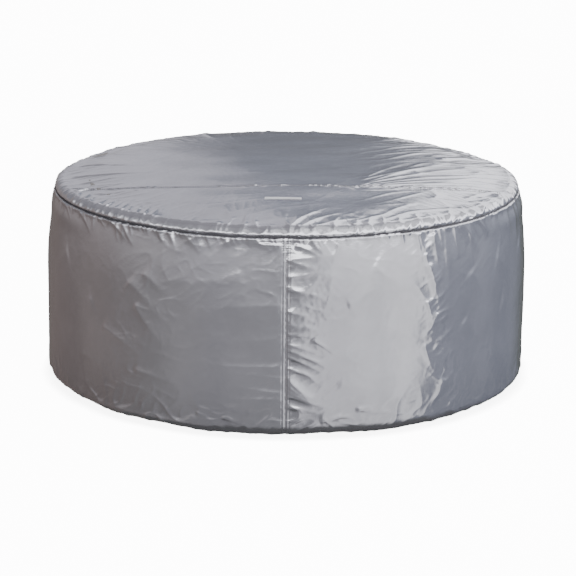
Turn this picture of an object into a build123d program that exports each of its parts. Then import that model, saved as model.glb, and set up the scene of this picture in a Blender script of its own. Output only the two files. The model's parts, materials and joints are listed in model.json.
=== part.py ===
from build123d import *
import math
import os

# Round inflatable hot tub under a fitted fabric cover. Millimetres, +Z up.
# The origin is on the ground at the middle of the tub. The cover's front seam faces -Y,
# the water and air ports face +Y. An azimuth is counted in degrees from +X, anticlockwise.

# Driving dimensions of the tub
TUB_R = 890.0              # outside of the inflated wall
WATER_R = 700.0            # inside of the inflated wall
TUB_TOP = 690.0            # top of the wall
TUB_BOTTOM = 5.0           # underside of the wall's skin, on the base sheet
OUTER_CORNER = 90.0        # rounding between the wall and the top or the base
INNER_CORNER = 50.0        # rounding between the top and the water side
SKIN = 2.0                 # coated sheet
MAT_R = 840.0
MAT_T = 3.0
BAFFLES = 20

# Driving dimensions of the cover
COVER_R = 920.0            # widest part of the side panels
COVER_SEAM_R = 885.0       # edge seam between the side and the top
COVER_SEAM_Z = 727.0
COVER_BELLY_Z = 400.0      # the side leans inwards above this height
COVER_SHOULDER = 35.0      # rounding above the edge seam
COVER_CROWN_Z = 806.0
COVER_HEM_Z = 6.0          # lowest point of the hem
COVER_HEM_R = 45.0         # rounding where the hem tucks under the tub
COVER_FABRIC = 2.0
CROSS_SEAM_Y = -374.0      # middle of the seam between the two top panels
CROSS_SEAM_BEND_R = 3450.0 # its ends curve back a little
LABEL_CENTRE = (-13.0, -547.0)  # plain strip on the front top panel
LABEL_SIZE = (134.0, 24.0)
SEAM_TAPE_W = 24.0
PIPING_R = 4.0
HEM_CASING_R = 6.0
ELASTIC_R = 3.0

# Driving dimensions of the lid
LID_R = 862.0              # outside of the side band
LID_UNDER_Z = 692.5
LID_EDGE_Z = 752.0
LID_CROWN_Z = 796.0
SKIRT_BOTTOM = 560.0
SKIRT_GAP = 4.0            # between the tub's wall and the skirt
SKIRT_END_ANGLE = 48.0     # where the skirt stops on the tub's rounded shoulder

# Hardware
PORT_Z = 250.0
AIR_PORT_Z = 420.0
PORT_AZIMUTHS = {"water_inlet": 84.0, "water_outlet": 96.0}
AIR_AZIMUTH = 90.0
WATER_PORT_R = 32.0        # outside of the threaded spigot
WATER_BORE_R = 26.0
AIR_PORT_R = 22.0
AIR_BORE_R = 17.0
SPIGOT_END = 908.0         # how far out the spigots reach, from the tub's axis
WALL_GAP = 0.3             # between a flange and the curved wall it is clamped on
VALVE_AZIMUTH = 70.0
VALVE_Z = 420.0
DRAIN_AZIMUTH = 108.0
DRAIN_Z = 140.0
BUCKLE_AZIMUTHS = [0.0, 60.0, 120.0, 180.0, 240.0, 300.0]
HANDLE_AZIMUTHS = [30.0, 150.0, 210.0, 330.0]
HANDLE_Z = 330.0
STRAP_W = 30.0
STRAP_T = 2.0
STRAP_X = 896.3            # inner face of the straps, from the tub's axis

os.makedirs("parts", exist_ok=True)


def save(name, *solids):
    """Writes one node; several solids make one group."""
    found = [s for shape in solids for s in shape.solids()]
    shape = found[0] if len(found) == 1 else Compound(found)
    export_step(shape, f"parts/{name}.step")


def on_circle(centre, radius, angle):
    a = math.radians(angle)
    return (centre[0] + radius * math.cos(a), 0, centre[1] + radius * math.sin(a))


def at(radius, height):
    return (radius, 0, height)


def path_edges(path, inset):
    """Edges of a clockwise path of lines and arcs in the XZ plane, moved inwards by inset."""
    edges = []
    for kind, *data in path:
        if kind == "arc":
            centre, radius, start, end = data
            r = radius - inset
            points = [on_circle(centre, r, a) for a in (start, (start + end) / 2, end)]
            edges.append(Edge.make_three_point_arc(*points))
        else:
            (x0, z0), (x1, z1) = data
            length = math.hypot(x1 - x0, z1 - z0)
            nx, nz = (z1 - z0) / length * inset, -(x1 - x0) / length * inset
            edges.append(Edge.make_line(at(x0 + nx, z0 + nz), at(x1 + nx, z1 + nz)))
    return edges


def sheet_section(path, thickness, inset=0.0):
    """Section of a sheet whose outer face follows the path."""
    outer = path_edges(path, inset)
    inner = path_edges(path, inset + thickness)
    ends = [Edge.make_line(outer[-1] @ 1, inner[-1] @ 1), Edge.make_line(inner[0] @ 0, outer[0] @ 0)]
    return Face(Wire(outer + inner + ends))


def turned(section, start=0.0, sweep=360.0):
    """A section turned about the tub's axis from one azimuth."""
    return Rot(0, 0, start) * revolve(section, Axis.Z, revolution_arc=sweep)


def ring_section(r0, r1, z0, z1):
    return Face(Wire.make_polygon([at(r0, z0), at(r1, z0), at(r1, z1), at(r0, z1)], close=True))


def hoop(radius, height, thick, hollow=0.0):
    """A round hoop of circular section, hollow if asked."""
    plane = Plane(origin=at(radius, height), x_dir=(1, 0, 0), z_dir=(0, -1, 0))
    ring = revolve(plane * Circle(thick), Axis.Z)
    return ring - revolve(plane * Circle(hollow), Axis.Z) if hollow else ring


def disc(radius, z0, z1):
    return Pos(0, 0, z0) * Cylinder(radius, z1 - z0, align=(Align.CENTER, Align.CENTER, Align.MIN))


def radial(radius, x0, x1):
    """A cylinder that points away from the axis, from x0 to x1."""
    rod = Cylinder(radius, x1 - x0, align=(Align.CENTER, Align.CENTER, Align.MIN))
    return Pos(x0, 0, 0) * Rot(0, 90, 0) * rod


def radial_tube(outer, inner, x0, x1):
    return radial(outer, x0, x1) - radial(inner, x0 - 1, x1 + 1)


def block(x0, x1, y_half, z0, z1):
    box = Box(x1 - x0, 2 * y_half, z1 - z0, align=(Align.MIN, Align.CENTER, Align.MIN))
    return Pos(x0, 0, z0) * box


def placed(shape, azimuth, height=0.0):
    return Rot(0, 0, azimuth) * (Pos(0, 0, height) * shape)


def dome_arc(edge_r, edge_z, crown_z):
    """A shallow dome as one arc centred on the axis, from the crown down to its edge."""
    rise = crown_z - edge_z
    radius = (edge_r ** 2 + rise ** 2) / (2 * rise)
    end = 90 - math.degrees(math.asin(edge_r / radius))
    return ("arc", (0, crown_z - radius), radius, 90, end)


# ---------------------------------------------------------------- the tub

def wall_holes():
    """Everything that passes through the inflated wall: radius, azimuth, height, start, end."""
    holes = [(WATER_PORT_R - 1.7, a, PORT_Z, 600, 950) for a in PORT_AZIMUTHS.values()]
    holes.append((AIR_PORT_R - 1.7, AIR_AZIMUTH, AIR_PORT_Z, 600, 950))
    holes.append((20.3, DRAIN_AZIMUTH, DRAIN_Z, 600, 950))
    holes.append((18.3, VALVE_AZIMUTH, VALVE_Z, 850, 950))
    return [placed(radial(r, x0, x1), a, z) for r, a, z, x0, x1 in holes]


def tub_shell():
    centre_x = TUB_R - OUTER_CORNER
    top_c = (centre_x, TUB_TOP - OUTER_CORNER)
    low_c = (centre_x, TUB_BOTTOM + OUTER_CORNER)
    outer = [
        ("arc", top_c, OUTER_CORNER, 90, 0),
        ("line", (TUB_R, top_c[1]), (TUB_R, low_c[1])),
        ("arc", low_c, OUTER_CORNER, 0, -90),
    ]
    inner_c = (WATER_R + INNER_CORNER, TUB_TOP - INNER_CORNER)
    floor_z = TUB_BOTTOM + 2 * SKIN
    inner = [
        ("line", (WATER_R, floor_z), (WATER_R, inner_c[1])),
        ("arc", inner_c, INNER_CORNER, 180, 90),
    ]
    holes = wall_holes()
    save("tub_outer_wall", turned(sheet_section(outer, SKIN)) - holes)
    save("tub_inner_wall", turned(sheet_section(inner, SKIN)) - holes)
    save("tub_top_deck", turned(ring_section(inner_c[0], centre_x, TUB_TOP - SKIN, TUB_TOP)))
    save("tub_base_sheet", disc(centre_x, MAT_T, TUB_BOTTOM))
    save("tub_floor_liner", disc(WATER_R, TUB_BOTTOM + 0.5, TUB_BOTTOM + 0.5 + SKIN))
    save("ground_mat", disc(MAT_R, 0, MAT_T))


def wall_baffles():
    step = 360 / BAFFLES
    web = block(WATER_R + 3, TUB_R - 3, SKIN / 2, 95, 600)
    save("wall_baffles", *[placed(web, step * (i + 0.5)) for i in range(BAFFLES)])


def bubble_ring(wall_r=WATER_R - 0.5, width=32.0, base_z=8.0, air_holes=36):
    """The blown-air channel at the foot of the water side, with its air holes."""
    def quarter(inset):
        centre, radius = (wall_r - inset, base_z + inset), width - 2 * inset
        tip, middle, top = [on_circle(centre, radius, a) for a in (180, 135, 90)]
        sides = [Edge.make_line(at(*centre), tip), Edge.make_line(top, at(*centre))]
        return Face(Wire(sides + [Edge.make_three_point_arc(tip, middle, top)]))

    channel = revolve(quarter(0), Axis.Z) - revolve(quarter(SKIN), Axis.Z)
    hole = Pos(wall_r - width * 0.45, 0, base_z + width / 2) * Cylinder(1.5, width)
    save("bubble_ring", channel - [placed(hole, 360 / air_holes * i) for i in range(air_holes)])


def spigot(outer, bore):
    """Threaded port on the outside of the wall: a clamped flange and a short tube."""
    face = TUB_R + WALL_GAP
    body = radial(outer + 14, face + 1.5, face + 4) + radial(outer, face + 4, SPIGOT_END)
    return body - radial(bore, face - 5, SPIGOT_END + 5)


def ports():
    inner_face = math.sqrt(WATER_R ** 2 - 46 ** 2) - WALL_GAP
    tubes, gaskets, flanges = [], [], []
    sizes = [(WATER_PORT_R, WATER_BORE_R, a, PORT_Z) for a in PORT_AZIMUTHS.values()]
    sizes.append((AIR_PORT_R, AIR_BORE_R, AIR_AZIMUTH, AIR_PORT_Z))
    for outer, bore, azimuth, height in sizes:
        tube = radial_tube(outer - 2, bore, inner_face, TUB_R + WALL_GAP)
        gasket = radial_tube(outer + 14, bore, TUB_R + WALL_GAP, TUB_R + WALL_GAP + 1.5)
        flange = radial_tube(46 if outer > 30 else 34, bore, inner_face - 6, inner_face)
        tubes.append(placed(tube, azimuth, height))
        gaskets.append(placed(gasket, azimuth, height))
        flanges.append(placed(flange, azimuth, height))
    save("port_wall_tubes", *tubes)
    save("port_gaskets", *gaskets)
    save("port_inner_flanges", *flanges)
    for name, azimuth in PORT_AZIMUTHS.items():
        save(f"{name}_spigot", placed(spigot(WATER_PORT_R, WATER_BORE_R), azimuth, PORT_Z))
    save("air_spigot", placed(spigot(AIR_PORT_R, AIR_BORE_R), AIR_AZIMUTH, AIR_PORT_Z))
    return inner_face - 6


def grip_cap(radius, x0, thick, grip, inward=False, ribs=0):
    """A twist cap with a finger bar across it, and ribs round its edge if asked."""
    sign = -1 if inward else 1
    low, high = sorted((x0, x0 + sign * thick))
    cap = radial(radius, low, high)
    low, high = sorted((x0 + sign * thick, x0 + sign * (thick + grip)))
    cap += block(low, high, radius * 0.75, -radius * 0.14, radius * 0.14)
    rib = Pos(0, radius, 0) * radial(radius * 0.06, *sorted((x0, x0 + sign * thick)))
    return cap + [Rot(360 / ribs * i, 0, 0) * rib for i in range(ribs)] if ribs else cap


def filter_set(face):
    """Filter on the inlet's inner flange: a holder tube, a pleated cartridge and a twist cap."""
    azimuth = PORT_AZIMUTHS["water_inlet"]
    length, tube_r, pleats = 104.0, 20.0, 40
    end = face - 6 - length
    holder = radial_tube(50, WATER_BORE_R - 10, face - 6, face) + radial_tube(tube_r, 16, end, face - 6)
    slots = [Rot(60 * i, 0, 0) * block(end + 14, face - 20, 4, 10, 30) for i in range(6)]
    save("filter_holder", placed(holder - slots, azimuth, PORT_Z))
    rim = []
    for i in range(2 * pleats):
        radius = 50 if i % 2 else 44
        a = math.radians(180 / pleats * i)
        rim.append((radius * math.cos(a), radius * math.sin(a)))
    star = Polygon(*rim, align=None) - Circle(tube_r + 0.6)
    cartridge = Pos(end + 1, 0, 0) * Rot(0, 90, 0) * extrude(star, length - 2)
    save("filter_cartridge", placed(cartridge, azimuth, PORT_Z))
    save("filter_cap", placed(grip_cap(52, end - 0.5, 9, 9, inward=True, ribs=16), azimuth, PORT_Z))


def stopper(face):
    """Twist cap that closes the outlet's inner flange, on its own gasket."""
    azimuth = PORT_AZIMUTHS["water_outlet"]
    gasket = radial_tube(40, 30, face - 3.5, face - 0.3)
    cap = grip_cap(42, face - 3.8, 8, 9, inward=True, ribs=12)
    save("outlet_stopper_gasket", placed(gasket, azimuth, PORT_Z))
    save("outlet_stopper_cap", placed(cap, azimuth, PORT_Z))


def inflation_valve():
    face = TUB_R + WALL_GAP
    body = radial(28, face, face + 2.5) + radial(20, face + 2.5, face + 9) + radial(18, face - 24, face)
    body -= radial(12, face - 30, face + 20)
    stem = radial(3, face - 20, face + 6) + radial(9, face + 2, face + 5)
    save("inflation_valve_body", placed(body, VALVE_AZIMUTH, VALVE_Z))
    save("inflation_valve_stem", placed(stem, VALVE_AZIMUTH, VALVE_Z))
    cap = grip_cap(21, face + 9.5, 5, 5, ribs=10)
    save("inflation_valve_cap", placed(cap, VALVE_AZIMUTH, VALVE_Z))


def drain():
    face = TUB_R + WALL_GAP
    start = WATER_R - 2
    body = radial(36, face + 1.5, face + 4) + radial(26, face + 4, face + 10) + radial(20, start, face + 1.5)
    body -= radial(16, start - 5, face + 20)
    save("drain_fitting", placed(body, DRAIN_AZIMUTH, DRAIN_Z))
    gasket = radial_tube(36, 20.3, face, face + 1.5)
    save("drain_gasket", placed(gasket, DRAIN_AZIMUTH, DRAIN_Z))
    cap = grip_cap(28, face + 10.5, 5, 5, ribs=12)
    save("drain_cap", placed(cap, DRAIN_AZIMUTH, DRAIN_Z))


def tub_straps():
    """Side-release buckles that hold the lid: the tongues and their straps are on the tub."""
    tongue = block(892.5, 903.5, 22, 436, 455) + block(895, 901, 15, 455, 490)
    tongue -= block(894, 902, 8, 466, 500)
    strap = block(STRAP_X, STRAP_X + STRAP_T, STRAP_W / 2, 380, 436)
    patch = turned(ring_section(TUB_R + WALL_GAP, TUB_R + 2.3, 350, 415), -2, 4)
    save("buckle_tongues", *[placed(tongue, a) for a in BUCKLE_AZIMUTHS])
    save("tub_straps", *[placed(strap, a) for a in BUCKLE_AZIMUTHS])
    save("strap_patches", *[placed(patch, a) for a in BUCKLE_AZIMUTHS])


def carry_handles(span=14.0, patch_span=4.5):
    low, high = HANDLE_Z - 17.5, HANDLE_Z + 17.5
    strap = ring_section(TUB_R + 2.8, TUB_R + 5.0, low, high)
    patch = ring_section(TUB_R + WALL_GAP, TUB_R + 2.5, HANDLE_Z - 30, HANDLE_Z + 30)
    starts = [a - span / 2 for a in HANDLE_AZIMUTHS]
    ends = [a + span / 2 - patch_span for a in HANDLE_AZIMUTHS]
    save("carry_handles", *[turned(strap, a, span) for a in starts])
    save("handle_patches", *[turned(patch, a, patch_span) for a in starts + ends])


# ---------------------------------------------------------------- the lid

def lid_skins():
    dome = dome_arc(LID_R - 5, LID_EDGE_Z, LID_CROWN_Z)
    save("lid_top_skin", turned(sheet_section([dome], SKIN)))
    save("lid_side_band", turned(ring_section(LID_R - SKIN, LID_R, 676, LID_EDGE_Z - 5)))
    save("lid_bottom_foil", disc(LID_R - 4, LID_UNDER_Z, LID_UNDER_Z + SKIN))
    centre = (TUB_R - OUTER_CORNER, TUB_TOP - OUTER_CORNER)
    skirt_r = OUTER_CORNER + SKIRT_GAP + SKIN
    skirt = [
        ("arc", centre, skirt_r, SKIRT_END_ANGLE, 0),
        ("line", (centre[0] + skirt_r, centre[1]), (centre[0] + skirt_r, SKIRT_BOTTOM)),
    ]
    save("lid_skirt", turned(sheet_section(skirt, SKIN)))
    save("lid_edge_piping", hoop(LID_R - 0.5, LID_EDGE_Z - 1.2, 3))


def lid_bladder():
    """The air chamber between the lid's skins, hollow and crowned like its top."""
    def solid(inset):
        r, low = LID_R - 12 - inset, LID_UNDER_Z + SKIN + 2 + inset
        arc = dome_arc(LID_R - 5, LID_EDGE_Z - 6 - inset, LID_CROWN_Z - 6 - inset)
        centre, radius = arc[1], arc[2]
        edge_z = centre[1] + math.sqrt(radius ** 2 - r ** 2)
        edge_angle = math.degrees(math.acos(r / radius))
        crown = Edge.make_three_point_arc(at(0, centre[1] + radius),
                                          on_circle(centre, radius, (90 + edge_angle) / 2), at(r, edge_z))
        sides = [Edge.make_line(at(r, edge_z), at(r, low)), Edge.make_line(at(r, low), at(0, low)),
                 Edge.make_line(at(0, low), at(0, centre[1] + radius))]
        return revolve(Face(Wire([crown] + sides)), Axis.Z)
    save("lid_bladder", solid(0) - solid(SKIN))


def lid_hardware():
    strap = block(STRAP_X, STRAP_X + STRAP_T, STRAP_W / 2, 503, 590)
    socket = block(892, 904, 22, 458, 503) - block(894.5, 901.5, 17, 450, 496)
    save("lid_straps", *[placed(strap, a) for a in BUCKLE_AZIMUTHS])
    save("buckle_sockets", *[placed(socket, a) for a in BUCKLE_AZIMUTHS])
    tape = ring_section(LID_R + 0.3, LID_R + 1.8, 705, 719)
    save("lid_zip_tape", turned(tape, 60, 60))
    slider = block(LID_R + 2.4, LID_R + 6, 5, 706, 718) + block(LID_R + 3.4, LID_R + 5, 3, 682, 706)
    save("zip_slider", placed(slider, 62))
    face = LID_R + 0.5
    base = radial(17, face, face + 2) + radial(10, face + 2, face + 5)
    save("lid_valve_base", placed(base - radial(6, face - 2, face + 9), 140, 716))
    save("lid_valve_cap", placed(grip_cap(11, face + 5.4, 3, 3, ribs=8), 140, 716))


# ---------------------------------------------------------------- the cover

def side_path():
    """The side panel's outer face, from the edge seam down to the hem."""
    lean, rise = COVER_R - COVER_SEAM_R, COVER_SEAM_Z - COVER_BELLY_Z
    radius = (rise ** 2 + lean ** 2) / (2 * lean)
    angle = math.degrees(math.asin(rise / radius))
    hem_top = COVER_HEM_Z + COVER_HEM_R
    return [
        ("arc", (COVER_R - radius, COVER_BELLY_Z), radius, angle, 0),
        ("line", (COVER_R, COVER_BELLY_Z), (COVER_R, hem_top)),
    ]


def cover_sides():
    section = sheet_section(side_path(), COVER_FABRIC)
    save("cover_side_right", turned(section, -90, 180))
    save("cover_side_left", turned(section, 90, 180))
    tape = sheet_section(side_path(), 1.6, COVER_FABRIC)
    sweep = math.degrees(SEAM_TAPE_W / COVER_R)
    save("cover_side_seam_tapes", *[turned(tape, a - sweep / 2, sweep) for a in (-90, 90)])


def top_path():
    """The top's outer face: a shallow dome that runs tangent into the shoulder above the seam."""
    x, z = COVER_SEAM_R - COVER_SHOULDER, COVER_SEAM_Z + 0.5
    rise = COVER_CROWN_Z - z
    radius = (rise ** 2 + x ** 2 - COVER_SHOULDER ** 2) / (2 * (rise - COVER_SHOULDER))
    dome_c = (0, COVER_CROWN_Z - radius)
    meet = math.degrees(math.atan2(z - dome_c[1], x))
    return [("arc", dome_c, radius, 90, meet), ("arc", (x, z), COVER_SHOULDER, meet, 0)]


def seam_disc(extra=0.0):
    """Everything behind the cross seam, moved forwards by extra."""
    place = Pos(0, CROSS_SEAM_Y + CROSS_SEAM_BEND_R, COVER_SEAM_Z)
    return place * Cylinder(CROSS_SEAM_BEND_R + extra, COVER_R)


def cover_top():
    dome = top_path()[0]
    shell = turned(sheet_section(top_path(), COVER_FABRIC))
    save("cover_top_front", shell - seam_disc())
    save("cover_top_rear", shell & seam_disc())
    tape = turned(sheet_section([dome], 1.6, COVER_FABRIC + 0.1))
    half = SEAM_TAPE_W / 2
    save("cover_cross_seam_tape", tape & (seam_disc(half) - seam_disc(-half)))
    patch = turned(sheet_section([dome], 1.0, -1.1))
    label = Pos(*LABEL_CENTRE, COVER_SEAM_Z) * Box(*LABEL_SIZE, COVER_R)
    save("cover_label", patch & label)


def cover_edges():
    save("cover_edge_piping", hoop(COVER_SEAM_R + PIPING_R + 0.3, COVER_SEAM_Z, PIPING_R))
    centre = (COVER_R - COVER_HEM_R, COVER_HEM_Z + COVER_HEM_R)
    tuck = ("arc", centre, COVER_HEM_R, 0, -90)
    save("cover_hem", turned(sheet_section([tuck], COVER_FABRIC)))
    casing_r = centre[0] - HEM_CASING_R - 0.3
    save("cover_hem_casing", hoop(casing_r, COVER_HEM_Z + HEM_CASING_R, HEM_CASING_R, HEM_CASING_R - 2))
    save("cover_hem_elastic", hoop(casing_r, COVER_HEM_Z + HEM_CASING_R, ELASTIC_R))


tub_shell()
wall_baffles()
bubble_ring()
flange_face = ports()
filter_set(flange_face)
stopper(flange_face)
inflation_valve()
drain()
tub_straps()
carry_handles()
lid_skins()
lid_bladder()
lid_hardware()
cover_sides()
cover_top()
cover_edges()
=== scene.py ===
import json
import math

import bpy
import numpy as np
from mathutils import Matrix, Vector

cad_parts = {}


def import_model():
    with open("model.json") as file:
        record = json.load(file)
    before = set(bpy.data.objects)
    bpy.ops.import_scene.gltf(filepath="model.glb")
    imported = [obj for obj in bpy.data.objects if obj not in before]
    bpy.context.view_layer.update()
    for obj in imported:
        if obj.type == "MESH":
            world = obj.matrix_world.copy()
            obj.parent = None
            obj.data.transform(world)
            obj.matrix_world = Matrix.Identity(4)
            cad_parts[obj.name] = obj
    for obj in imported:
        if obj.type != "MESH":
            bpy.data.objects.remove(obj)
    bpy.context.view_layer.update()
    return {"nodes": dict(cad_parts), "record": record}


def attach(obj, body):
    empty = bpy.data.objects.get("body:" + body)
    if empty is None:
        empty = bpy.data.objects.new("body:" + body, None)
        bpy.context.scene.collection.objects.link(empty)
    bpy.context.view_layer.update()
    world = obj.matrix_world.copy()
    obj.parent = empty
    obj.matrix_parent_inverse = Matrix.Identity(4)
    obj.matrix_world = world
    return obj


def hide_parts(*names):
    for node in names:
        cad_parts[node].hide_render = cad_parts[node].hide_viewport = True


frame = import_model()
nodes = frame["nodes"]

# The cover's section, in metres, as in the CAD model
SEAM_R, SEAM_Z = 0.885, 0.727
BELLY_R, BELLY_Z = 0.920, 0.400
SIDE_ARC_R = 1.545
SHOULDER_R = 0.035
CROWN_Z, DOME_R = 0.806, 8.361
HEM_R, HEM_Z = 0.045, 0.006
CROSS_Y, CROSS_BOW = -0.374, 0.145
STITCH_STEP, STITCH_ROW = 0.0085, 0.008
DIMPLE_STEP = 0.008
TAPE_WIDTH, TAPE_THICK = 0.024, 0.0012


# ------ number helpers

def smooth(x, low, high):
    """0 at low and 1 at high, with an eased rise between; low may be above high."""
    t = np.clip((x - low) / (high - low), 0, 1)
    return t * t * (3 - 2 * t)


def bell(x, centre, width):
    """1 at the centre, falling off on both sides."""
    return np.exp(-((x - centre) / width) ** 2)


def noise(u, v, seed):
    """Gradient noise from about -0.7 to 0.7, one cell per unit, the same every run."""
    iu, iv = np.floor(u).astype(np.int64), np.floor(v).astype(np.int64)
    fu, fv = u - iu, v - iv

    def corner(a, b):
        n = ((iu + a) * 374761393 + (iv + b) * 668265263 + seed * 1446651) & 0x7FFFFFFF
        n = ((n ^ (n >> 13)) * 1274126177) & 0x7FFFFFFF
        angle = ((n ^ (n >> 16)) % 4096) * (2 * math.pi / 4096)
        return np.cos(angle) * (fu - a) + np.sin(angle) * (fv - b)

    su, sv = fu * fu * (3 - 2 * fu), fv * fv * (3 - 2 * fv)
    low = corner(0, 0) * (1 - su) + corner(1, 0) * su
    high = corner(0, 1) * (1 - su) + corner(1, 1) * su
    return low * (1 - sv) + high * sv


def ripple(u, seed):
    """Uneven waviness along a line."""
    return noise(u, u * 0.61 + 0.3, seed)


def creases(u, v, seed, sharp=0.28):
    """Thin raised crease lines, 0 between them and 1 on their crests."""
    bent = noise(u * 0.6 + 9, v * 0.6 - 4, seed + 50)
    n = np.abs(noise(u + 0.7 * bent, v + 0.5 * bent, seed))
    return np.clip(1 - n / sharp, 0, 1) ** 1.6


def soften(height, lowest, highest):
    """Rounds off tall crests instead of cutting them flat."""
    return np.where(height > 0, highest * np.tanh(height / highest), np.maximum(height, lowest))


def fold(height, u, v, start, end, width, rise, bend=0.0, grow=1.0, fade=1.2, skew=1.0):
    """Adds one crease from start to end: sharp crest, soft flanks, thinning towards its end."""
    du, dv = end[0] - start[0], end[1] - start[1]
    length = math.hypot(du, dv)
    pad = 5 * width * max(grow, 1) + abs(bend)
    near = np.ones(u.shape, bool)
    for place, one, other in ((u, start[0], end[0]), (v, start[1], end[1])):
        near &= (place > min(one, other) - pad) & (place < max(one, other) + pad)
    if not near.any():
        return
    x, y = u[near] - start[0], v[near] - start[1]
    along = (x * du + y * dv) / length ** 2
    across = (y * du - x * dv) / length - bend * 4 * along * (1 - along)
    inside = (along > -0.05) & (along < 1)
    t = np.clip(along, 0, 1)
    w = width * (1 + (grow - 1) * t) * np.where(across > 0, skew, 1 / skew)
    flank = np.exp(-(np.sqrt(across ** 2 + (0.25 * w) ** 2) - 0.25 * w) / w)
    body = smooth(along, -0.05, 0.06) * (1 - t) ** fade
    height[near] += np.where(inside, rise * flank * body, 0)


def scattered(rng, start, end, gaps, keep=lambda place: True):
    """Places along a line at random gaps, leaving out those that keep() turns down."""
    places = []
    while start < end:
        if keep(start):
            places.append(start)
        start += rng.uniform(*gaps)
    return places


def scatter_folds(height, u, v, seed, spots, length, slant, width, rise, down=True):
    """Short puckers that leave a seam: one at each spot (u, v), slanted by about slant radians."""
    rng = np.random.default_rng(seed)
    for su, sv in spots:
        size = rng.uniform(*length) * rng.choice([0.55, 1.0, 1.6], p=[0.45, 0.4, 0.15])
        turn = rng.normal(slant, 0.35)
        sign = -1 if down else 1
        end = (su + size * math.sin(turn), sv + sign * size * math.cos(turn))
        fold(height, u, v, (su, sv), end, rng.uniform(*width), rng.uniform(*rise),
             bend=rng.uniform(-0.1, 0.1) * size, skew=rng.uniform(0.6, 1.6))


# ------ mesh helpers

def add_object(name, data):
    made = bpy.data.objects.new(name, data)
    bpy.context.scene.collection.objects.link(made)
    return made


def grid_mesh(name, points, wrap=False):
    """A smooth sheet of quads through a rows x columns x 3 array of points."""
    rows, columns = points.shape[:2]
    index = np.arange(rows * columns).reshape(rows, columns)
    if wrap:
        index = np.concatenate([index, index[:, :1]], axis=1)
    quads = np.stack([index[:-1, :-1], index[:-1, 1:], index[1:, 1:], index[1:, :-1]], axis=-1)
    quads = quads.reshape(-1, 4)
    mesh = bpy.data.meshes.new(name)
    mesh.vertices.add(rows * columns)
    mesh.vertices.foreach_set("co", points.reshape(-1).astype(np.float32))
    mesh.loops.add(quads.size)
    mesh.loops.foreach_set("vertex_index", quads.reshape(-1).astype(np.int32))
    mesh.polygons.add(len(quads))
    mesh.polygons.foreach_set("loop_start", np.arange(0, quads.size, 4, dtype=np.int32))
    mesh.polygons.foreach_set("use_smooth", np.ones(len(quads), bool))
    mesh.update(calc_edges=True)
    mesh.validate()
    return add_object(name, mesh)


def piece(made, body, slot, *replaced, material=None):
    """Puts a mesh on its body with the looks of its slot, in place of the CAD nodes in replaced."""
    made.data.materials.clear()
    made.data.materials.append(material or MATERIALS[slot])
    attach(made, body)
    if replaced:
        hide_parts(*replaced)
    return made


# ------ node helpers

class Nodes:
    """Short calls to build a material's or the world's node tree."""

    def __init__(self, tree):
        self.tree = tree

    def add(self, kind, inputs=(), **values):
        node = self.tree.nodes.new(kind)
        for key, value in values.items():
            setattr(node, key, value)
        for key, value in dict(inputs).items():
            self.put(node.inputs[key], value)
        return node

    def put(self, socket, value):
        if isinstance(value, bpy.types.NodeSocket):
            self.tree.links.new(value, socket)
        else:
            socket.default_value = value

    def math(self, kind, a, b=0.0, c=0.0):
        return self.add("ShaderNodeMath", {0: a, 1: b, 2: c}, operation=kind).outputs[0]

    def times(self, a, b):
        return self.math("MULTIPLY", a, b)

    def plus(self, a, b):
        return self.math("ADD", a, b)

    def span(self, value, low, high, to_low=0.0, to_high=1.0, soft=False):
        kind = "SMOOTHSTEP" if soft else "LINEAR"
        node = self.add("ShaderNodeMapRange", {0: value, 1: low, 2: high, 3: to_low, 4: to_high},
                        interpolation_type=kind)
        return node.outputs[0]

    def mix(self, share, a, b, kind="MIX"):
        node = self.add("ShaderNodeMix", {"Factor": share, 6: a, 7: b}, data_type="RGBA", blend_type=kind)
        return node.outputs[2]

    def ramp(self, value, stops):
        node = self.add("ShaderNodeValToRGB", {0: value})
        ramp = node.color_ramp
        while len(ramp.elements) < len(stops):
            ramp.elements.new(0.5)
        for element, (place, colour) in zip(ramp.elements, stops):
            element.position = place
            element.color = colour if len(colour) == 4 else (*colour, 1)
        return node.outputs[0]

    def noise(self, coords, scale, detail=3.0, rough=0.5):
        return self.add("ShaderNodeTexNoise",
                        {"Vector": coords, "Scale": scale, "Detail": detail, "Roughness": rough}).outputs[0]

    def bump(self, height, strength, distance, normal=None):
        inputs = {"Height": height, "Strength": strength, "Distance": distance}
        if normal is not None:
            inputs["Normal"] = normal
        return self.add("ShaderNodeBump", inputs).outputs[0]

    def dress(self, shader, **values):
        """Sets the shader's inputs, whose names have a space where the keyword has an underscore."""
        for key, value in values.items():
            self.put(shader.inputs[key.replace("_", " ")], value)


def new_material(name):
    material = bpy.data.materials.new(name)
    material.use_nodes = True
    n = Nodes(material.node_tree)
    shader = material.node_tree.nodes["Principled BSDF"]
    coords = n.add("ShaderNodeTexCoord").outputs["Object"]
    return material, n, shader, coords


def shades(colour, *shares):
    """The colour made darker or lighter by each share, with alpha."""
    return [(*(min(1, c * share) for c in colour), 1) for share in shares]


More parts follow.
